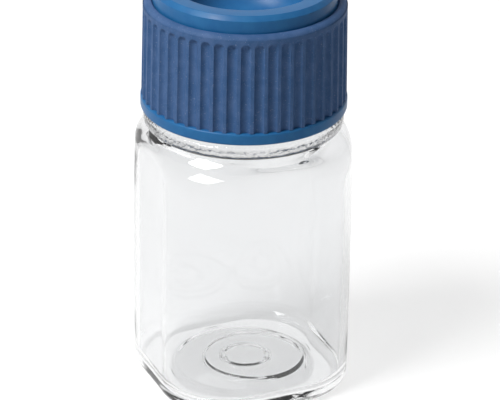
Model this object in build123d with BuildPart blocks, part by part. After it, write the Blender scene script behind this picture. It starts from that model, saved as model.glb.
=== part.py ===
"""Small clear sample vial: a rounded-square bottle with a screw cap in a soft grip sleeve.

Four pieces, in millimetres. +Z is the vial's axis, pointing up out of the neck, and the
origin is the centre of the ring that the base stands on. The flats of the bottle face
along X and Y. The thread on the neck and in the cap is left out of the solids; the bore
of the cap clears its crest.
"""

import os
from math import sqrt

from build123d import *

# Bottle body
body_across = 29.2  # outside, from flat to flat
body_corner_radius = 10.0
body_wall = 1.0
body_height = 41.0  # base to the top of the shoulder
heel_radius = 1.8
inner_heel_radius = 2.4
shoulder_drop = 5.2  # height over which the corners round in
shoulder_top_radius = 14.0
shoulder_blend = 1.6  # softens the line where the shoulder meets the walls
shoulder_margin = 0.25  # the shoulder's arc starts this far outside the corners

# Base: a flat ring to stand on, pushed up inside it
floor_thickness = 1.3
standing_ring_inner_radius = 10.8
push_up_height = 0.8
push_up_rim = 0.9  # width of the steep edge of the push-up
step_radius = 7.5
step_height = 0.3
mark_radius = 3.3  # small raised ring in the middle of the floor
mark_width = 0.5
mark_height = 0.2

# Neck: a smooth collar, the throat inside it, and the finish that the cap screws onto
collar_radius = 14.6
collar_height = 2.2
collar_round = 0.8
neck_radius = 10.85  # at the root of the thread
neck_height = 8.9  # collar to rim
neck_root_round = 0.3
rim_round = 0.4
bore_radius = 9.2
throat_radius = 12.1  # where the throat opens into the body
throat_depth = 3.4  # below the top of the shoulder
throat_mouth_round = 1.2
throat_top_round = 2.4
thread_depth = 1.1

# Screw cap
collar_gap = 0.4  # collar to the lip of the closed cap
thread_clearance = 0.15
cap_wall = 1.15
lip_overhang = 0.1  # the lip reaches this far past the foot of the sleeve
lip_height = 1.8
lip_round = 0.35
bore_chamfer = 0.5
deck_thickness = 1.3
ring_chamfer = 0.65
recess_radius = 10.3
recess_depth = 8.0
recess_edge_round = 0.3
recess_floor_round = 5.3

# Grip sleeve
sleeve_clearance = 0.02
sleeve_wall = 1.38  # at the top, between the flutes
sleeve_spread = 0.25  # the foot is this much wider
ring_proud = 2.4  # how far the cap stands out of the sleeve
sleeve_round = 1.1
sleeve_inner_chamfer = 0.25
flute_count = 48
flute_radius = 0.72
flute_depth = 0.5
flute_margin = 2.9  # plain band between the flutes and the top of the sleeve

# Sealing liner
liner_thickness = 1.0
liner_clearance = 0.1

# Heights and radii that follow from the sizes above
overshoot = 1.0  # cutting tools start this far outside the material
push_up_radius = standing_ring_inner_radius - push_up_rim
step_top = push_up_height + step_height
throat_bottom = body_height - throat_depth
collar_top = body_height + collar_height
rim_height = collar_top + neck_height
cap_bore_radius = neck_radius + thread_depth + thread_clearance
core_radius = cap_bore_radius + cap_wall
cap_bottom = collar_top + collar_gap
lip_top = cap_bottom + lip_height
deck_underside = rim_height + liner_thickness
recess_floor = deck_underside + deck_thickness
cap_top = recess_floor + recess_depth
sleeve_bore_radius = core_radius + sleeve_clearance
sleeve_top_radius = sleeve_bore_radius + sleeve_wall
sleeve_bottom_radius = sleeve_top_radius + sleeve_spread
sleeve_top = cap_top - ring_proud
sleeve_top_round = min(sleeve_round, 0.95 * (sleeve_wall - sleeve_inner_chamfer))
lip_radius = sleeve_bottom_radius + lip_overhang


def turn(corners, mode=Mode.ADD):
    """Revolve a closed outline about +Z; each corner is (radius, height, rounding)."""
    points = [(radius, height) for radius, height, _ in corners]
    rounding = [corner[2] for corner in corners]
    with BuildSketch(Plane.XZ) as outline:
        with BuildLine():
            FilletPolyline(points, radius=rounding, close=True)
        make_face()
    revolve(outline.sketch, axis=Axis.Z, mode=mode)


def body_form(inset, bottom, heel, top, top_radius):
    """Return the rounded-square body, moved in by inset and turned in at its shoulder."""
    across = body_across - 2 * inset
    corner = body_corner_radius - inset
    corner_reach = across / 2 + (sqrt(2) - 1) * (across / 2 - corner)
    shoulder_radius = corner_reach + shoulder_margin
    shoulder_start = top - shoulder_drop
    with BuildPart() as form:
        with BuildSketch(Plane.XY.offset(bottom)):
            RectangleRounded(across, across, corner)
        extrude(amount=top - bottom)
        fillet(form.faces().sort_by(Axis.Z)[0].edges(), heel)
        with BuildSketch(Plane.XZ) as outline:
            with BuildLine():
                wall = Line((shoulder_radius, bottom - overshoot), (shoulder_radius, shoulder_start))
                shoulder = TangentArc(wall @ 1, (top_radius, top), tangent=(0, 1))
                Polyline(shoulder @ 1, (0, top), (0, bottom - overshoot), wall @ 0)
            make_face()
        revolve(outline.sketch, axis=Axis.Z, mode=Mode.INTERSECT)
        shoulder_line = [
            edge
            for edge in form.edges()
            if edge.bounding_box().min.Z > shoulder_start and edge.center().Z < top - shoulder_margin
        ]
        fillet(shoulder_line, shoulder_blend)
    return form.part


# Bottle: body, collar and finish, then the hollow, the throat and the push-up
hollow = body_form(body_wall, floor_thickness, inner_heel_radius, throat_bottom, throat_radius)
with BuildPart() as bottle:
    add(body_form(0, 0, heel_radius, body_height, shoulder_top_radius))
    turn(
        [
            (0, throat_bottom, 0),
            (neck_radius, throat_bottom, 0),
            (neck_radius, body_height, 0),
            (collar_radius, body_height, collar_round),
            (collar_radius, collar_top, collar_round),
            (neck_radius, collar_top, neck_root_round),
            (neck_radius, rim_height, rim_round),
            (0, rim_height, 0),
        ]
    )
    add(hollow, mode=Mode.SUBTRACT)
    turn(
        [
            (0, throat_bottom - overshoot, 0),
            (throat_radius, throat_bottom - overshoot, 0),
            (throat_radius, throat_bottom + throat_mouth_round, throat_mouth_round),
            (bore_radius, collar_top, throat_top_round),
            (bore_radius, rim_height - rim_round, 0),
            (bore_radius + rim_round, rim_height, 0),
            (0, rim_height, 0),
        ],
        mode=Mode.SUBTRACT,
    )
    turn(
        [
            (0, floor_thickness, 0),
            (standing_ring_inner_radius, floor_thickness, 0),
            (push_up_radius, floor_thickness + push_up_height / 2, push_up_rim),
            (step_radius, floor_thickness + push_up_height, 0),
            (step_radius - step_height, floor_thickness + step_top, 0),
            (mark_radius + mark_width, floor_thickness + step_top, 0),
            (mark_radius + mark_width / 2, floor_thickness + step_top + mark_height, 0),
            (mark_radius - mark_width / 2, floor_thickness + step_top + mark_height, 0),
            (mark_radius - mark_width, floor_thickness + step_top, 0),
            (0, floor_thickness + step_top, 0),
        ]
    )
    turn(
        [
            (0, -overshoot, 0),
            (standing_ring_inner_radius, -overshoot, 0),
            (standing_ring_inner_radius, 0, 0),
            (push_up_radius, push_up_height / 2, push_up_rim),
            (step_radius, push_up_height, 0),
            (step_radius - step_height, step_top, 0),
            (0, step_top, 0),
        ],
        mode=Mode.SUBTRACT,
    )
bottle.part.label = "bottle"

# Screw cap: one moulding with a lip below, and a raised ring round a dished recess above
with BuildPart() as screw_cap:
    turn(
        [
            (0, deck_underside, 0),
            (cap_bore_radius, deck_underside, 0),
            (cap_bore_radius, cap_bottom + bore_chamfer, 0),
            (cap_bore_radius + bore_chamfer, cap_bottom, 0),
            (lip_radius, cap_bottom, lip_round),
            (lip_radius, lip_top, lip_round),
            (core_radius, lip_top, 0),
            (core_radius, cap_top - ring_chamfer, 0),
            (core_radius - ring_chamfer, cap_top, 0),
            (recess_radius, cap_top, recess_edge_round),
            (recess_radius, recess_floor, recess_floor_round),
            (0, recess_floor, 0),
        ]
    )
screw_cap.part.label = "screw_cap"

# One flute: a round-ended groove that follows the slight taper of the sleeve
sleeve_taper = (sleeve_bottom_radius - sleeve_top_radius) / (sleeve_top - lip_top)
flute_axis_radius = sleeve_top_radius + flute_radius - flute_depth
flute_rise = flute_margin + flute_radius  # from the end of the flute's axis to the sleeve's top
flute_start = Vector(
    flute_axis_radius + sleeve_taper * (sleeve_top - lip_top + overshoot), 0, lip_top - overshoot
)
flute_end = Vector(flute_axis_radius + sleeve_taper * flute_rise, 0, sleeve_top - flute_rise)
with BuildPart() as flute:
    with BuildSketch(Plane(flute_start, z_dir=flute_end - flute_start)):
        Circle(flute_radius)
    extrude(amount=(flute_end - flute_start).length)
    with Locations(flute_end):
        Sphere(flute_radius)

# Grip sleeve: stands on the lip and hugs the cap up to its raised ring
with BuildPart() as grip_sleeve:
    turn(
        [
            (sleeve_bore_radius, lip_top, 0),
            (sleeve_bottom_radius, lip_top, 0),
            (sleeve_top_radius, sleeve_top, sleeve_top_round),
            (sleeve_bore_radius + sleeve_inner_chamfer, sleeve_top, 0),
            (sleeve_bore_radius, sleeve_top - sleeve_inner_chamfer, 0),
        ]
    )
    with PolarLocations(0, flute_count):
        add(flute.part, mode=Mode.SUBTRACT)
grip_sleeve.part.label = "grip_sleeve"

# Sealing liner: a disc between the rim of the neck and the deck of the cap
with BuildPart() as sealing_liner:
    with BuildSketch(Plane.XY.offset(rim_height)):
        Circle(cap_bore_radius - liner_clearance)
    extrude(amount=liner_thickness)
sealing_liner.part.label = "sealing_liner"

os.makedirs("parts", exist_ok=True)
for piece in (bottle, screw_cap, grip_sleeve, sealing_liner):
    export_step(piece.part, f"parts/{piece.part.label}.step")
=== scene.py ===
import logging
import math
from dataclasses import dataclass, field
from enum import Enum
from typing import Callable, Sequence

import bpy
import numpy as np
from mathutils import Matrix, Vector


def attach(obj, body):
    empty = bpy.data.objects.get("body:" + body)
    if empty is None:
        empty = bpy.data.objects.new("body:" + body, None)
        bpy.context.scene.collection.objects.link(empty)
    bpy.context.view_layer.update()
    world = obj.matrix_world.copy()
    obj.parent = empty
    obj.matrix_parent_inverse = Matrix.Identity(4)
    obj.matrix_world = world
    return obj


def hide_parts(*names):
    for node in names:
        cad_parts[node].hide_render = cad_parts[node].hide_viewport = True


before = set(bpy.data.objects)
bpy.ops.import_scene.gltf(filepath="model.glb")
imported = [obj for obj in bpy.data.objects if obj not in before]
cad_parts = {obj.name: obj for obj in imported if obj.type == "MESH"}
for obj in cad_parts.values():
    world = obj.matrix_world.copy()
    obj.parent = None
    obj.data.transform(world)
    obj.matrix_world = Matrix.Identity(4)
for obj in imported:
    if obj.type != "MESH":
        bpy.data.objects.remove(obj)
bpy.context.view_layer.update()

LOG = logging.getLogger("sample_vial")
MM = 0.001  # the sizes below are in millimetres, and Blender works in metres
TURN = 2 * math.pi
THREAD_PITCH = 3.175  # rise of both threads in one turn, in millimetres

Section = Callable[[np.ndarray], np.ndarray]  # the reach from the axis at each angle, in mm


class Body(Enum):
    """The bodies that a piece can ride on."""

    BOTTLE = "bottle"
    LINER = "liner"
    CAP = "cap"


class Slot(Enum):
    """The material slots that the record names."""

    CLEAR_BOTTLE = "clear_bottle"
    CAP_PLASTIC = "cap_plastic"
    GRIP_RUBBER = "grip_rubber"
    LINER_FOAM = "liner_foam"


# ---------------------------------------------------------------- outlines and sections


def rounded(corners: Sequence[tuple[float, float, float]], degrees: float = 9.0) -> list[tuple[float, float]]:
    """Turn the corners of an open outline into points, with each rounding as an arc.

    Args:
        corners: The (radius, height, rounding) of each corner, in millimetres.
        degrees: The most that the outline turns from one point of an arc to the next.

    Returns:
        The (radius, height) of each point, in millimetres.
    """
    points = [Vector(corners[0][:2])]
    for before, corner, after in zip(corners, corners[1:], corners[2:]):
        tip = Vector(corner[:2])
        back = (Vector(before[:2]) - tip).normalized()
        ahead = (Vector(after[:2]) - tip).normalized()
        opening = back.angle(ahead)
        if corner[2] == 0 or math.pi - opening < 1e-6:
            points.append(tip)
            continue
        start = tip + back * corner[2] / math.tan(opening / 2)
        centre = tip + (back + ahead).normalized() * corner[2] / math.sin(opening / 2)
        spoke = start - centre
        sweep = math.pi - opening
        sense = 1 if back.cross(ahead) < 0 else -1
        steps = max(2, math.ceil(math.degrees(sweep) / degrees))
        for step in range(steps + 1):
            points.append(centre + Matrix.Rotation(sense * sweep * step / steps, 2) @ spoke)
    points.append(Vector(corners[-1][:2]))
    return [(point.x, point.y) for point in points]


def spaced(start: float, end: float, count: int) -> list[float]:
    """Return count values from start towards end, without end itself."""
    return [start + (end - start) * step / count for step in range(count)]


def soft_least(first: np.ndarray, second: np.ndarray, blend: float) -> np.ndarray:
    """Return the lesser of two reaches, eased over the stretch where they cross."""
    near = np.clip(1 - np.abs(first - second) / blend, 0, 1)
    return np.minimum(first, second) - near * near * blend / 4


def circle(radius: float) -> Section:
    """Return the section of a round ring."""
    return lambda angles: np.full_like(angles, radius)


@dataclass(frozen=True)
class RoundedSquare:
    """The plan of the bottle's body.

    Attributes:
        across: From flat to flat, in millimetres.
        corner: Radius of the corners.
    """

    across: float
    corner: float

    def reach(self, angles: np.ndarray, inset: float = 0.0) -> np.ndarray:
        """Return how far the wall lies from the axis.

        Args:
            angles: Directions about the axis, in radians.
            inset: How far inside the outer wall, in millimetres.

        Returns:
            The reach at each angle, in millimetres.
        """
        half = self.across / 2 - inset
        corner = max(self.corner - inset, 0.01)
        folded = np.mod(angles, math.pi / 2)
        folded = np.minimum(folded, math.pi / 2 - folded)
        straight = half - corner
        along = straight * (np.cos(folded) + np.sin(folded))
        round_part = along + np.sqrt(np.maximum(along**2 - 2 * straight**2 + corner**2, 0))
        flat_part = half / np.cos(folded)
        return np.where(half * np.tan(folded) <= straight, flat_part, round_part)

    def section(self, inset: float = 0.0) -> Section:
        """Return the section that lies that far inside the outer wall."""
        return lambda angles: self.reach(angles, inset)


@dataclass(frozen=True)
class Helix:
    """A raised screw thread on a round wall.

    Attributes:
        start: Height of the ridge's middle where it begins, in millimetres.
        pitch: Rise in one turn.
        turns: Length of the ridge in turns.
        depth: How far the ridge stands off its wall; negative for a ridge that points inwards.
        foot: Width of the ridge at the wall.
        crest: Width of the ridge at its crest.
        run_out: Length over which each end fades, in turns.
    """

    start: float
    pitch: float
    turns: float
    depth: float
    foot: float
    crest: float
    run_out: float = 0.07

    def section(self, radius: float, height: float) -> Section:
        """Cut the threaded wall at one height.

        Args:
            radius: Radius of the wall, in millimetres.
            height: The height, in millimetres.

        Returns:
            The section.
        """

        def reach(angles: np.ndarray) -> np.ndarray:
            share = np.zeros_like(angles)
            around = np.mod(angles, TURN) / TURN
            for lap in range(-1, math.ceil(self.turns) + 1):
                along = around + lap
                off = np.abs(height - self.start - self.pitch * along)
                flank = np.clip((self.foot / 2 - off) / ((self.foot - self.crest) / 2), 0, 1)
                ends = np.clip(np.minimum(along, self.turns - along) / self.run_out, 0, 1)
                share = np.maximum(share, flank**2 * (3 - 2 * flank) * ends)
            return radius + self.depth * share

        return reach


@dataclass(frozen=True)
class Ring:
    """One ring of a skin.

    Attributes:
        height: Height over the floor, in millimetres.
        section: Reach from the ring's centre at each angle.
        centre: Where the ring's centre lies in plan, in millimetres.
    """

    height: float
    section: Section
    centre: tuple[float, float] = (0.0, 0.0)


def round_rings(outline: Sequence[tuple[float, float]]) -> list[Ring]:
    """Return the round rings of a turned outline of (radius, height) points."""
    return [Ring(height, circle(radius)) for radius, height in outline]


# ---------------------------------------------------------------- modelling steps


def clear_selection() -> None:
    """Deselect every object, so that an operator acts on the new piece alone."""
    if bpy.context.object and bpy.context.object.mode != "OBJECT":
        bpy.ops.object.mode_set(mode="OBJECT")
    bpy.ops.object.select_all(action="DESELECT")


def close_and_smooth(piece: bpy.types.Object, degrees: float) -> None:
    """Merge doubles, point the faces outwards and shade the piece smooth.

    Args:
        piece: The piece to finish.
        degrees: Edges that turn more than this stay crisp.
    """
    bpy.ops.object.mode_set(mode="EDIT")
    bpy.ops.mesh.select_all(action="SELECT")
    bpy.ops.mesh.remove_doubles(threshold=0.002 * MM)
    bpy.ops.mesh.normals_make_consistent(inside=False)
    bpy.ops.object.mode_set(mode="OBJECT")
    bpy.ops.object.shade_smooth_by_angle(angle=math.radians(degrees))


def grow_skin(name: str, sides: int, rings: Sequence[Ring], crisp: float = 40.0) -> bpy.types.Object:
    """Model a closed skin: a tube is cut into rings, and each ring is drawn to its section.

    Args:
        name: Name of the piece.
        sides: Points in each ring.
        rings: The rings in order along the skin, from pole to pole or back to the first.
        crisp: Edges that turn more than this, in degrees, stay crisp.

    Returns:
        The finished piece.
    """
    clear_selection()
    last = len(rings) - 1
    bpy.ops.mesh.primitive_cylinder_add(
        vertices=sides, radius=1.0, depth=last, end_fill_type="NOTHING", location=(0, 0, last / 2)
    )
    piece = bpy.context.object
    piece.name = name
    bpy.ops.object.transform_apply(location=True, rotation=False, scale=False)
    bpy.ops.object.mode_set(mode="EDIT")
    bpy.ops.mesh.select_mode(type="EDGE")
    bpy.ops.mesh.select_all(action="DESELECT")
    bpy.ops.object.mode_set(mode="OBJECT")
    for edge in piece.data.edges:
        low, high = (piece.data.vertices[index].co.z for index in edge.vertices)
        edge.select = abs(high - low) > 0.5
    bpy.ops.object.mode_set(mode="EDIT")
    bpy.ops.mesh.subdivide_edgering(number_cuts=last - 1, interpolation="LINEAR")
    bpy.ops.object.mode_set(mode="OBJECT")
    draw_rings(piece, rings)
    close_and_smooth(piece, crisp)
    return piece


def draw_rings(piece: bpy.types.Object, rings: Sequence[Ring]) -> None:
    """Move the points of a tube, whose rings lie one unit apart, out to their sections.

    Args:
        piece: The tube.
        rings: Its rings, lowest first.
    """
    places = np.empty(len(piece.data.vertices) * 3)
    piece.data.vertices.foreach_get("co", places)
    places = places.reshape(-1, 3)
    index = np.rint(places[:, 2]).astype(int)
    angles = np.arctan2(places[:, 1], places[:, 0])
    for number, ring in enumerate(rings):
        chosen = index == number
        reach = ring.section(angles[chosen])
        places[chosen, 0] = ring.centre[0] + reach * np.cos(angles[chosen])
        places[chosen, 1] = ring.centre[1] + reach * np.sin(angles[chosen])
        places[chosen, 2] = ring.height
    piece.data.vertices.foreach_set("co", (places * MM).ravel())
    piece.data.update()


# ---------------------------------------------------------------- finishes


class Shader:
    """A material's nodes, with short ways to add and join them."""

    def __init__(self, name: str) -> None:
        """Start a material with one Principled shader."""
        self.material = bpy.data.materials.new(name)
        self.material.use_nodes = True
        self.tree = self.material.node_tree
        self.surface = self.tree.nodes["Principled BSDF"]

    def node(self, kind: str, **settings: object) -> bpy.types.Node:
        """Add a node.

        Args:
            kind: Its type.
            **settings: Its properties.

        Returns:
            The node.
        """
        made = self.tree.nodes.new(kind)
        for name, value in settings.items():
            setattr(made, name, value)
        return made

    def join(self, output: bpy.types.NodeSocket, target: bpy.types.NodeSocket) -> None:
        """Link an output to an input."""
        self.tree.links.new(output, target)

    def place(self, scale: Sequence[float] = (1, 1, 1)) -> bpy.types.NodeSocket:
        """Read the piece's own coordinates.

        Args:
            scale: How much they are stretched along X, Y and Z.

        Returns:
            The coordinates.
        """
        where = self.node("ShaderNodeTexCoord")
        mapping = self.node("ShaderNodeMapping")
        mapping.inputs["Scale"].default_value = scale
        self.join(where.outputs["Object"], mapping.inputs["Vector"])
        return mapping.outputs["Vector"]

    def noise(self, place: bpy.types.NodeSocket, grain: float, detail: float = 2.0) -> bpy.types.NodeSocket:
        """Add a noise.

        Args:
            place: The coordinates that it reads.
            grain: Width of its blotches, in millimetres.
            detail: How much finer noise lies on them.

        Returns:
            The noise, about 0 to 1.
        """
        made = self.node("ShaderNodeTexNoise")
        made.inputs["Scale"].default_value = 1 / (grain * MM)
        made.inputs["Detail"].default_value = detail
        self.join(place, made.inputs["Vector"])
        return made.outputs["Fac"]

    def spread(
        self, value: bpy.types.NodeSocket, low: float, high: float, out: Sequence[float]
    ) -> bpy.types.NodeSocket:
        """Move a value from one range to another and hold it there.

        Args:
            value: The value.
            low: What becomes the first number of out.
            high: What becomes the second.
            out: The two ends of the new range.

        Returns:
            The moved value.
        """
        made = self.node("ShaderNodeMapRange")
        self.join(value, made.inputs["Value"])
        ends = (low, high, out[0], out[1])
        for name, end in zip(("From Min", "From Max", "To Min", "To Max"), ends):
            made.inputs[name].default_value = end
        return made.outputs["Result"]

    def blend(
        self,
        share: bpy.types.NodeSocket,
        first: Sequence[float] | bpy.types.NodeSocket,
        second: Sequence[float],
    ) -> bpy.types.NodeSocket:
        """Blend two colours.

        Args:
            share: How much there is of the second colour.
            first: The colour where share is 0, or a socket that gives it.
            second: The colour where share is 1.

        Returns:
            The blended colour.
        """
        made = self.node("ShaderNodeMix", data_type="RGBA")
        self.join(share, made.inputs["Factor"])
        if isinstance(first, bpy.types.NodeSocket):
            self.join(first, made.inputs["A"])
        else:
            made.inputs["A"].default_value = (*first, 1)
        made.inputs["B"].default_value = (*second, 1)
        return made.outputs["Result"]

    def bump(self, height: bpy.types.NodeSocket, depth: float, strength: float = 1.0) -> None:
        """Raise the surface where height is more than 0.

        Args:
            height: The height, about 0 to 1.
            depth: How far 1 raises the surface, in millimetres.
            strength: Share of that which is used.
        """
        made = self.node("ShaderNodeBump")
        made.inputs["Strength"].default_value = strength
        made.inputs["Distance"].default_value = depth * MM
        self.join(height, made.inputs["Height"])
        self.join(made.outputs["Normal"], self.surface.inputs["Normal"])

    def band(self, heights: tuple[float, float], level: float) -> bpy.types.NodeSocket:
        """Mark a band round the piece.

        Args:
            heights: Its foot and its top over the floor, in millimetres.
            level: The value inside the band.

        Returns:
            The level inside the band and 0 outside it.
        """
        middle = (heights[0] + heights[1]) / 2
        half = (heights[1] - heights[0]) / 2
        fade = 0.3
        split = self.node("ShaderNodeSeparateXYZ")
        self.join(self.place(), split.inputs["Vector"])
        away = self.node("ShaderNodeMath", operation="SUBTRACT")
        self.join(split.outputs["Z"], away.inputs[0])
        away.inputs[1].default_value = middle * MM
        distance = self.node("ShaderNodeMath", operation="ABSOLUTE")
        self.join(away.outputs[0], distance.inputs[0])
        return self.spread(distance.outputs[0], half * MM, (half + fade) * MM, (level, 0))

    def put_on(self, piece: bpy.types.Object) -> None:
        """Make this the piece's only material."""
        piece.data.materials.clear()
        piece.data.materials.append(self.material)


@dataclass(frozen=True)
class ClearPlastic:
    """Clear moulded plastic with the faint waves of a blown wall.

    Attributes:
        tint: Colour that light keeps as it goes through.
        index: Index of refraction.
        gloss: Roughness of the surface.
        wave: Width of the waves, in millimetres.
        wave_depth: Height of the waves, in millimetres.
        grain: Width of the moulding grain on the collar, in millimetres.
        grain_depth: Height of that grain, in millimetres.
        grain_band: The heights between which it lies, in millimetres.
    """

    tint: tuple[float, float, float] = (0.865, 0.870, 0.875)
    index: float = 1.5
    gloss: float = 0.012
    wave: float = 5.0
    wave_depth: float = 0.012
    grain: float = 0.75
    grain_depth: float = 0.10
    grain_band: tuple[float, float] = (41.2, 43.3)

    def build(self) -> Shader:
        """Build the material.

        Returns:
            The material's nodes.
        """
        shader = Shader("clear_plastic")
        surface = shader.surface
        surface.inputs["Base Color"].default_value = (*self.tint, 1)
        surface.inputs["Transmission Weight"].default_value = 1.0
        surface.inputs["IOR"].default_value = self.index
        surface.inputs["Roughness"].default_value = self.gloss
        waves = shader.noise(shader.place((1, 1, 0.35)), self.wave)
        grain = shader.noise(shader.place(), self.grain, 3.0)
        height = shader.node("ShaderNodeMath", operation="MULTIPLY_ADD")
        shader.join(grain, height.inputs[0])
        shader.join(shader.band(self.grain_band, self.grain_depth / self.wave_depth), height.inputs[1])
        shader.join(waves, height.inputs[2])
        shader.bump(height.outputs[0], self.wave_depth)
        return shader


@dataclass(frozen=True)
class CapPlastic:
    """Smooth, slightly satin blue plastic of the cap's core.

    Attributes:
        colour: Its colour.
        worn: Colour of its faint handling marks.
        gloss: Roughness from its glossiest to its dullest patches.
        shine: Strength of its reflections.
        patch: Width of the patches, in millimetres.
        grain: Width of the fine grain, in millimetres.
        grain_depth: Height of that grain, in millimetres.
    """

    colour: tuple[float, float, float] = (0.012, 0.098, 0.255)
    worn: tuple[float, float, float] = (0.018, 0.120, 0.285)
    gloss: tuple[float, float] = (0.30, 0.42)
    shine: float = 0.16
    patch: float = 2.2
    grain: float = 0.25
    grain_depth: float = 0.008

    def build(self) -> Shader:
        """Build the material.

        Returns:
            The material's nodes.
        """
        shader = Shader("cap_plastic")
        place = shader.place()
        patches = shader.noise(place, self.patch, 4.0)
        shade = shader.spread(patches, 0.35, 0.7, (0, 1))
        shader.join(shader.blend(shade, self.colour, self.worn), shader.surface.inputs["Base Color"])
        shader.join(shader.spread(patches, 0.3, 0.7, self.gloss), shader.surface.inputs["Roughness"])
        shader.surface.inputs["Specular IOR Level"].default_value = self.shine
        shader.bump(shader.noise(place, self.grain, 3.0), self.grain_depth, 0.6)
        return shader


@dataclass(frozen=True)
class GripRubber:
    """Matte, slightly dusty rubber of the grip sleeve.

    Attributes:
        colour: Its colour.
        chalk: The paler bloom on it.
        speck: Colour of the dust specks.
        roughness: Roughness of its surface.
        shine: Strength of its reflections.
        bloom: Width of the blotches of bloom, in millimetres.
        grain: Width of the specks and of the fine grain, in millimetres.
        grain_depth: Height of that grain, in millimetres.
    """

    colour: tuple[float, float, float] = (0.034, 0.084, 0.195)
    chalk: tuple[float, float, float] = (0.055, 0.108, 0.230)
    speck: tuple[float, float, float] = (0.30, 0.34, 0.42)
    roughness: float = 0.62
    shine: float = 0.16
    bloom: float = 1.6
    grain: float = 0.12
    grain_depth: float = 0.012

    def build(self) -> Shader:
        """Build the material.

        Returns:
            The material's nodes.
        """
        shader = Shader("grip_rubber")
        place = shader.place()
        bloom = shader.spread(shader.noise(place, self.bloom, 5.0), 0.35, 0.72, (0, 1))
        tone = shader.blend(bloom, self.colour, self.chalk)
        specks = shader.spread(shader.noise(place, self.grain, 0.0), 0.76, 0.82, (0, 0.5))
        shader.join(shader.blend(specks, tone, self.speck), shader.surface.inputs["Base Color"])
        shader.surface.inputs["Roughness"].default_value = self.roughness
        shader.surface.inputs["Specular IOR Level"].default_value = self.shine
        shader.bump(shader.noise(place, self.grain, 2.0), self.grain_depth, 0.7)
        return shader


@dataclass(frozen=True)
class LinerFoam:
    """Pale closed-cell foam of the sealing liner.

    Attributes:
        colour: Its colour.
        shade: Painted shade, the darker colour laid in the low parts of the cell bump.
        cell: Width of a cell, in millimetres.
        cell_depth: Depth of a cell, in millimetres.
    """

    colour: tuple[float, float, float] = (0.86, 0.85, 0.80)
    shade: tuple[float, float, float] = (0.74, 0.73, 0.69)
    cell: float = 0.3
    cell_depth: float = 0.02

    def build(self) -> Shader:
        """Build the material.

        Returns:
            The material's nodes.
        """
        shader = Shader("liner_foam")
        cells = shader.noise(shader.place(), self.cell, 2.0)
        # Painted shade: the foam is drawn darker where the cell bump sinks, from the same noise as the bump.
        tone = shader.blend(shader.spread(cells, 0.35, 0.6, (0, 1)), self.shade, self.colour)
        shader.join(tone, shader.surface.inputs["Base Color"])
        shader.surface.inputs["Roughness"].default_value = 0.7
        shader.bump(cells, self.cell_depth, 0.7)
        return shader


# ---------------------------------------------------------------- sub-assemblies


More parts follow.
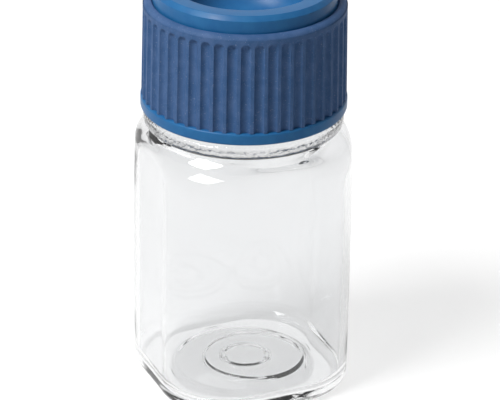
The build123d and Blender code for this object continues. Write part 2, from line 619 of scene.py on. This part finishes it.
@dataclass
class Bottle:
    """The clear bottle: rounded-square body, pushed-up base, collar and threaded neck.

    All sizes are in millimetres, and heights are over the floor.
    """

    plan: RoundedSquare = field(default_factory=lambda: RoundedSquare(29.2, 10.0))
    wall: float = 1.0
    body_height: float = 41.0
    heel: float = 1.8
    inner_heel: float = 2.4
    shoulder_drop: float = 5.2
    shoulder_top: float = 14.0
    shoulder_blend: float = 1.3
    shoulder_margin: float = 0.25
    floor: float = 1.3
    stand: float = 10.8
    push_up: float = 0.8
    push_up_rim: float = 0.9
    step: float = 7.5
    step_height: float = 0.3
    mark: float = 3.3
    mark_width: float = 0.5
    mark_height: float = 0.2
    mark_round: float = 0.12
    mark_foot_round: float = 0.15
    step_round: float = 0.4
    stand_round: float = 0.3
    stand_flat: float = 0.5
    step_shift: float = 1.9
    mark_shift: float = 0.7
    shift_turn: float = -23.4
    collar: float = 14.6
    collar_height: float = 2.2
    collar_round: float = 0.8
    neck: float = 10.85
    neck_height: float = 8.9
    rim_round: float = 0.4
    bore: float = 9.2
    throat: float = 12.8
    throat_depth: float = 1.9
    throat_mouth_round: float = 0.8
    throat_top_round: float = 2.4
    neck_root_round: float = 0.3
    neck_root: float = 0.6
    thread_depth: float = 1.1
    thread_rise: float = 2.1
    thread_turns: float = 1.5
    thread_foot: float = 2.1
    thread_crest: float = 0.9
    thread_rows: int = 48
    sides: int = 240

    @property
    def collar_top(self) -> float:
        """Height of the collar's top."""
        return self.body_height + self.collar_height

    @property
    def rim(self) -> float:
        """Height of the neck's rim."""
        return self.collar_top + self.neck_height

    @property
    def thread(self) -> Helix:
        """The ridge round the neck."""
        return Helix(
            start=self.collar_top + self.thread_rise,
            pitch=THREAD_PITCH,
            turns=self.thread_turns,
            depth=self.thread_depth,
            foot=self.thread_foot,
            crest=self.thread_crest,
        )

    def relief(self, lift: float) -> list[Ring]:
        """Draw the base, whose inner marks stand off centre.

        Args:
            lift: Height over the lower skin of the base.

        Returns:
            The rings, from the middle out to the standing ring.
        """
        top = self.push_up + self.step_height
        rim = self.stand - self.push_up_rim
        outline = rounded(
            [
                (0, top + lift, 0),
                (self.mark - self.mark_width, top + lift, self.mark_foot_round),
                (self.mark - self.mark_width / 2, top + lift + self.mark_height, self.mark_round),
                (self.mark + self.mark_width / 2, top + lift + self.mark_height, self.mark_round),
                (self.mark + self.mark_width, top + lift, self.mark_foot_round),
                (self.step - self.step_height, top + lift, self.step_round),
                (self.step, self.push_up + lift, self.step_round),
                (rim, self.push_up / 2 + lift, self.push_up_rim),
                (self.stand, lift, self.stand_round),
                (self.stand + self.stand_flat, lift, 0),
            ],
            degrees=20,
        )
        radii = (self.mark + self.mark_width, self.step - self.step_height, self.step, rim)
        shifts = (self.mark_shift, self.step_shift, self.step_shift, 0)
        turn = math.radians(self.shift_turn)
        rings = []
        for radius, height in outline:
            shift = float(np.interp(radius, radii, shifts))
            rings.append(Ring(height, circle(radius), (shift * math.cos(turn), shift * math.sin(turn))))
        return rings

    def shoulder(self, inset: float, top: float, top_radius: float) -> list[Ring]:
        """Return the rings of a shoulder from its foot to its top.

        Args:
            inset: How far inside the outer wall.
            top: Height of the shoulder's top.
            top_radius: Radius at its top.

        Returns:
            The rings, lowest first.
        """
        half = self.plan.across / 2 - inset
        straight = self.plan.across / 2 - self.plan.corner
        foot = half + (math.sqrt(2) - 1) * straight + self.shoulder_margin
        fall = foot - top_radius
        radius = (fall**2 + self.shoulder_drop**2) / (2 * fall)
        sweep = math.asin(self.shoulder_drop / radius)
        steps = 20

        def section(dome: float) -> Section:
            return lambda angles: soft_least(
                self.plan.reach(angles, inset), np.full_like(angles, dome), self.shoulder_blend
            )

        rings = []
        for step in range(steps + 1):
            turn = sweep * step / steps
            dome = foot - radius + radius * math.cos(turn)
            rings.append(Ring(top - self.shoulder_drop + radius * math.sin(turn), section(dome)))
        return rings

    def shell(self, inset: float, bottom: float, heel: float, top: float, top_radius: float) -> list[Ring]:
        """Draw one skin of the body.

        Args:
            inset: How far inside the outer wall.
            bottom: Height of its bottom.
            heel: Radius of its heel.
            top: Height of its shoulder's top.
            top_radius: Radius there.

        Returns:
            The rings, lowest first.
        """
        rings = []
        for turn in spaced(0, math.pi / 2, 9):
            depth = heel * (1 - math.sin(turn))
            rings.append(Ring(bottom + heel * (1 - math.cos(turn)), self.plan.section(inset + depth)))
        for height in spaced(bottom + heel, top - self.shoulder_drop, 6):
            rings.append(Ring(height, self.plan.section(inset)))
        return rings + self.shoulder(inset, top, top_radius)

    def finish(self) -> list[Ring]:
        """Draw the collar, the neck, the rim and the bore.

        Returns:
            The rings, from the collar's underside over the rim and down to the throat.
        """
        low = self.body_height
        rings = round_rings(
            rounded(
                [
                    (self.shoulder_top - 0.3, low, 0),
                    (self.collar, low, self.collar_round),
                    (self.collar, self.collar_top, self.collar_round),
                    (self.neck, self.collar_top, self.neck_root_round),
                    (self.neck, self.collar_top + self.neck_root, 0),
                ]
            )
        )
        thread_top = self.rim - self.rim_round
        throat_bottom = self.body_height - self.throat_depth
        for height in spaced(self.collar_top + self.neck_root + 0.15, thread_top, self.thread_rows):
            rings.append(Ring(height, self.thread.section(self.neck, height)))
        return rings + round_rings(
            rounded(
                [
                    (self.neck, thread_top, 0),
                    (self.neck, self.rim, self.rim_round * 0.95),
                    (self.bore, self.rim, self.rim_round),
                    (self.bore, self.rim - 1.5, 0),
                    (self.bore, self.collar_top, self.throat_top_round),
                    (self.throat, throat_bottom + self.throat_mouth_round, self.throat_mouth_round),
                    (self.throat, throat_bottom, 0),
                ]
            )
        )

    def build(self, plastic: Shader) -> bpy.types.Object:
        """Model the bottle, dress it and set it in the frame."""
        outside = self.shell(0, 0, self.heel, self.body_height, self.shoulder_top)
        inside = self.shell(
            self.wall, self.floor, self.inner_heel, self.body_height - self.throat_depth, self.throat
        )
        rings = self.relief(0) + outside + self.finish() + inside[::-1] + self.relief(self.floor)[::-1]
        piece = grow_skin("clear_bottle", self.sides, rings)
        plastic.put_on(piece)
        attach(piece, Body.BOTTLE.value)
        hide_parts("bottle")
        return piece


@dataclass
class Cap:
    """The screw cap: a lip below, a raised ring round a dished recess above, a thread inside.

    All sizes are in millimetres, and heights are over the floor.
    """

    bottom: float = 43.6
    bore: float = 12.1
    core: float = 13.25
    lip: float = 15.0
    lip_height: float = 1.8
    lip_round: float = 0.35
    bore_chamfer: float = 0.5
    deck: float = 53.1
    deck_thickness: float = 1.3
    top: float = 62.4
    ring_chamfer: float = 0.65
    recess: float = 10.3
    recess_edge: float = 0.3
    recess_floor_round: float = 5.3
    edge_round: float = 0.1
    chamfer_round: float = 0.16
    neck_thread_start: float = 45.3
    thread_turns: float = 1.4
    thread_depth: float = 1.05
    thread_foot: float = 2.0
    thread_crest: float = 0.8
    thread_rows: int = 44
    sides: int = 192

    @property
    def thread(self) -> Helix:
        """The ridge inside the bore, half a pitch above the one on the neck."""
        return Helix(
            start=self.neck_thread_start + THREAD_PITCH / 2,
            pitch=THREAD_PITCH,
            turns=self.thread_turns,
            depth=-self.thread_depth,
            foot=self.thread_foot,
            crest=self.thread_crest,
        )

    def build(self, plastic: Shader) -> bpy.types.Object:
        """Model the cap, dress it and set it in the frame."""
        thread_foot = self.bottom + 0.8
        thread_head = self.deck - 0.5
        lip_top = self.bottom + self.lip_height
        recess_floor = self.deck + self.deck_thickness
        under = [(0, self.deck), (6.0, self.deck), (self.bore - 0.3, self.deck), (self.bore, self.deck - 0.3)]
        rings = round_rings(under)
        for height in spaced(thread_head, thread_foot, self.thread_rows):
            rings.append(Ring(height, self.thread.section(self.bore, height)))
        rings += round_rings(
            rounded(
                [
                    (self.bore, thread_foot, 0),
                    (self.bore, self.bottom + self.bore_chamfer, self.edge_round),
                    (self.bore + self.bore_chamfer, self.bottom, self.edge_round),
                    (self.lip, self.bottom, self.lip_round),
                    (self.lip, lip_top, self.lip_round),
                    (self.core, lip_top, 0.05),
                    (self.core, self.top - self.ring_chamfer, self.chamfer_round),
                    (self.core - self.ring_chamfer, self.top, self.chamfer_round),
                    (self.recess, self.top, self.recess_edge),
                    (self.recess, recess_floor, self.recess_floor_round),
                    (0, recess_floor, 0),
                ],
                degrees=10,
            )
        )
        piece = grow_skin("cap_core", self.sides, rings)
        plastic.put_on(piece)
        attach(piece, Body.CAP.value)
        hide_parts("screw_cap")
        return piece


@dataclass
class Sleeve:
    """The fluted grip sleeve that hugs the cap.

    All sizes are in millimetres, and heights are over the floor.
    """

    bottom: float = 45.4
    top: float = 60.0
    bore: float = 13.27
    top_radius: float = 14.65
    bottom_radius: float = 14.9
    top_round: float = 1.07
    inner_chamfer: float = 0.25
    flutes: int = 48
    flute_radius: float = 0.72
    flute_depth: float = 0.5
    flute_margin: float = 1.2
    ease: float = 0.16
    columns: int = 16

    def groove(self, angles: np.ndarray, height: float) -> np.ndarray:
        """Measure the flute at one height.

        Args:
            angles: Directions from the flute's middle, in radians.
            height: The height, in millimetres.

        Returns:
            Its depth at each angle, in millimetres.
        """
        across = self.top_radius * angles
        over = max(height - (self.top - self.flute_margin - self.flute_radius), 0.0)
        ball = self.flute_radius**2 - across**2 - over**2
        axis_gap = self.flute_radius - self.flute_depth
        raw = np.sqrt(np.maximum(ball, 0)) - axis_gap
        return (raw + np.sqrt(raw**2 + self.ease**2)) / 2

    def build(self, rubber: Shader) -> bpy.types.Object:
        """Model one flute, copy it round the sleeve, dress it and set it in the frame."""
        outline = self.outline()
        rows = len(outline)
        clear_selection()
        bpy.ops.mesh.primitive_grid_add(x_subdivisions=self.columns, y_subdivisions=rows, size=1.0)
        piece = bpy.context.object
        piece.name = "grip_sleeve_ribbed"
        sector = TURN / self.flutes
        for vertex in piece.data.vertices:
            angle = vertex.co.x * sector
            row = round((vertex.co.y + 0.5) * rows) % rows
            radius, height, fluted = outline[row]
            if fluted:
                radius -= float(self.groove(np.array([angle]), height)[0]) * fluted
            vertex.co = Vector((radius * math.cos(angle), radius * math.sin(angle), height)) * MM
        bpy.ops.object.mode_set(mode="EDIT")
        bpy.ops.mesh.select_all(action="SELECT")
        bpy.ops.mesh.spin(
            steps=self.flutes - 1,
            dupli=True,
            angle=TURN - sector,
            center=(0, 0, 0),
            axis=(0, 0, 1),
        )
        bpy.ops.object.mode_set(mode="OBJECT")
        close_and_smooth(piece, 45)
        rubber.put_on(piece)
        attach(piece, Body.CAP.value)
        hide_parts("grip_sleeve")
        return piece

    def outline(self) -> list[tuple[float, float, float]]:
        """Return the closed outline as (radius, height, share of the flute's depth) points."""
        spread = self.bottom_radius - self.top_radius
        flute_top = self.top - self.flute_margin
        points = [(self.bore + 0.1, self.bottom, 0.0), (self.bottom_radius - 0.9, self.bottom, 0.0)]
        points.append((self.bottom_radius, self.bottom, 1.0))
        heights = spaced(self.bottom + 0.3, flute_top - 1.2, 9)
        heights += spaced(flute_top - 1.2, flute_top + 0.4, 16)
        for height in heights:
            share = (self.top - height) / (self.top - self.bottom)
            points.append((self.top_radius + spread * share, height, 1.0))
        for radius, height in rounded(
            [
                (self.top_radius, flute_top + 0.6, 0),
                (self.top_radius, self.top, self.top_round),
                (self.bore + self.inner_chamfer, self.top, 0.08),
                (self.bore, self.top - self.inner_chamfer, 0.08),
                (self.bore, self.bottom, 0),
            ]
        ):
            points.append((radius, height, 0.0))
        return points


@dataclass
class Liner:
    """The sealing disc between the rim of the neck and the deck of the cap, in millimetres."""

    radius: float = 12.0
    bottom: float = 52.1
    thickness: float = 1.0
    edge: float = 0.12
    seal_width: float = 1.6
    sides: int = 128

    def build(self, foam: Shader) -> bpy.types.Object:
        """Model the disc, dress it and set it in the frame."""
        clear_selection()
        bpy.ops.mesh.primitive_cylinder_add(
            vertices=self.sides,
            radius=self.radius * MM,
            depth=self.thickness * MM,
            location=(0, 0, (self.bottom + self.thickness / 2) * MM),
        )
        piece = bpy.context.object
        piece.name = "liner_disc"
        bpy.ops.object.transform_apply(location=True, rotation=False, scale=False)
        bpy.ops.object.mode_set(mode="EDIT")
        bpy.ops.mesh.select_mode(type="FACE")
        bpy.ops.mesh.select_all(action="DESELECT")
        bpy.ops.object.mode_set(mode="OBJECT")
        for face in piece.data.polygons:
            face.select = abs(face.normal.z) > 0.5
        bpy.ops.object.mode_set(mode="EDIT")
        bpy.ops.mesh.bevel(offset=self.edge * MM, segments=3, affect="EDGES")
        bpy.ops.mesh.select_all(action="DESELECT")
        bpy.ops.object.mode_set(mode="OBJECT")
        for face in piece.data.polygons:
            face.select = len(face.vertices) > 4
        bpy.ops.object.mode_set(mode="EDIT")
        bpy.ops.mesh.inset(thickness=self.seal_width * MM, use_individual=True)
        bpy.ops.object.mode_set(mode="OBJECT")
        close_and_smooth(piece, 50)
        foam.put_on(piece)
        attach(piece, Body.LINER.value)
        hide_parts("sealing_liner")
        return piece


# ---------------------------------------------------------------- studio


@dataclass(frozen=True)
class Lamp:
    """One soft lamp, placed round the vial.

    Attributes:
        name: What the lamp is for.
        azimuth: Where it stands: 0 is on the side of -Y, and it grows towards +X, in degrees.
        elevation: Height over the floor, in degrees.
        distance: From the middle of the vial, in metres.
        width: Width and height of its face, in metres.
        power: Power in watts.
    """

    name: str
    azimuth: float
    elevation: float
    distance: float
    width: tuple[float, float]
    power: float

    def light(self, target: Vector) -> None:
        """Put the lamp in the scene, turned to the target."""
        back = direction(self.azimuth, self.elevation)
        data = bpy.data.lights.new(self.name, "AREA")
        data.shape = "RECTANGLE"
        data.size, data.size_y = self.width
        data.energy = self.power
        lamp = bpy.data.objects.new(self.name, data)
        lamp.location = target + back * self.distance
        lamp.rotation_euler = back.to_track_quat("Z", "Y").to_euler()
        lamp.visible_camera = False
        bpy.context.scene.collection.objects.link(lamp)


def direction(azimuth: float, elevation: float) -> Vector:
    """Return the unit vector from the vial to something at that azimuth and elevation."""
    turn, rise = math.radians(azimuth), math.radians(elevation)
    return Vector((math.sin(turn) * math.cos(rise), -math.cos(turn) * math.cos(rise), math.sin(rise)))


@dataclass
class Studio:
    """The pale floor, the white surround, the lamps and the camera."""

    target: Vector
    camera_azimuth: float = -23.4
    camera_elevation: float = 26.206
    camera_distance: float = 0.450
    camera_roll: float = 0.838
    lens: float = 219.4
    shift: tuple[float, float] = (0.0158, 0.036)
    floor_colour: tuple[float, float, float] = (0.80, 0.80, 0.80)
    floor_whiteness: float = 0.50
    floor_glow: float = 1.42
    surround_level: float = 0.17
    lamps: tuple[Lamp, ...] = (
        Lamp("key", -80, 54, 0.60, (0.24, 0.24), 4.2),
        Lamp("fill", 10, 55, 0.80, (0.60, 0.60), 0.3),
        Lamp("back", 150, 50, 0.80, (0.60, 0.30), 0.5),
    )

    def background_share(self, tree: bpy.types.NodeTree) -> bpy.types.NodeSocket:
        """Tell the rays that see the background, straight, mirrored or through the plastic.

        Args:
            tree: The node tree to add the nodes to.

        Returns:
            1 for those rays and 0 for the others.
        """
        path = tree.nodes.new("ShaderNodeLightPath")
        share = path.outputs["Is Camera Ray"]
        for name in ("Is Glossy Ray", "Is Transmission Ray"):
            most = tree.nodes.new("ShaderNodeMath")
            most.operation = "MAXIMUM"
            tree.links.new(share, most.inputs[0])
            tree.links.new(path.outputs[name], most.inputs[1])
            share = most.outputs[0]
        return share

    def surround(self) -> None:
        """Light the scene from all round, with white where the background shows."""
        world = bpy.data.worlds.new("surround")
        bpy.context.scene.world = world
        world.use_nodes = True
        tree = world.node_tree
        background = tree.nodes["Background"]
        background.inputs["Color"].default_value = (1, 1, 1, 1)
        level = tree.nodes.new("ShaderNodeMapRange")
        level.inputs["To Min"].default_value = self.surround_level
        level.inputs["To Max"].default_value = 1.0
        tree.links.new(self.background_share(tree), level.inputs["Value"])
        tree.links.new(level.outputs["Result"], background.inputs["Strength"])

    def floor(self) -> None:
        """Lay the pale floor, which reads as white and keeps the shadow."""
        clear_selection()
        bpy.ops.mesh.primitive_circle_add(vertices=96, radius=4.0, fill_type="NGON", location=(0, 0, 0))
        floor = bpy.context.object
        floor.name = "floor"
        material = bpy.data.materials.new("floor")
        material.use_nodes = True
        tree = material.node_tree
        tree.nodes.clear()
        matte = tree.nodes.new("ShaderNodeBsdfDiffuse")
        matte.inputs["Color"].default_value = (*self.floor_colour, 1)
        white = tree.nodes.new("ShaderNodeEmission")
        white.inputs["Strength"].default_value = self.floor_glow
        share = tree.nodes.new("ShaderNodeMath")
        share.operation = "MULTIPLY"
        tree.links.new(self.background_share(tree), share.inputs[0])
        share.inputs[1].default_value = self.floor_whiteness
        mix = tree.nodes.new("ShaderNodeMixShader")
        tree.links.new(share.outputs[0], mix.inputs["Fac"])
        tree.links.new(matte.outputs[0], mix.inputs[1])
        tree.links.new(white.outputs[0], mix.inputs[2])
        output = tree.nodes.new("ShaderNodeOutputMaterial")
        tree.links.new(mix.outputs[0], output.inputs["Surface"])
        floor.data.materials.append(material)

    def camera(self) -> None:
        """Set up the camera."""
        back = direction(self.camera_azimuth, self.camera_elevation)
        data = bpy.data.cameras.new("camera")
        data.sensor_width = 36.0
        data.lens = self.lens
        data.shift_x, data.shift_y = self.shift
        data.clip_start = 0.01
        data.clip_end = 20.0
        camera = bpy.data.objects.new("camera", data)
        roll = Matrix.Rotation(math.radians(self.camera_roll), 4, "Z")
        look = back.to_track_quat("Z", "Y").to_matrix().to_4x4() @ roll
        camera.matrix_world = Matrix.Translation(self.target + back * self.camera_distance) @ look
        bpy.context.scene.collection.objects.link(camera)
        bpy.context.scene.camera = camera

    def build(self) -> None:
        """Set up everything round the vial."""
        bpy.context.scene.view_settings.view_transform = "Standard"
        self.surround()
        self.floor()
        for lamp in self.lamps:
            lamp.light(self.target)
        self.camera()


def main() -> None:
    """Build the vial and its studio."""
    logging.basicConfig(level=logging.INFO, format="%(name)s: %(message)s")
    Bottle().build(ClearPlastic().build())
    Cap().build(CapPlastic().build())
    Sleeve().build(GripRubber().build())
    Liner().build(LinerFoam().build())
    Studio(target=Vector((0, 0, 25 * MM))).build()


if __name__ == "__main__":
    main()
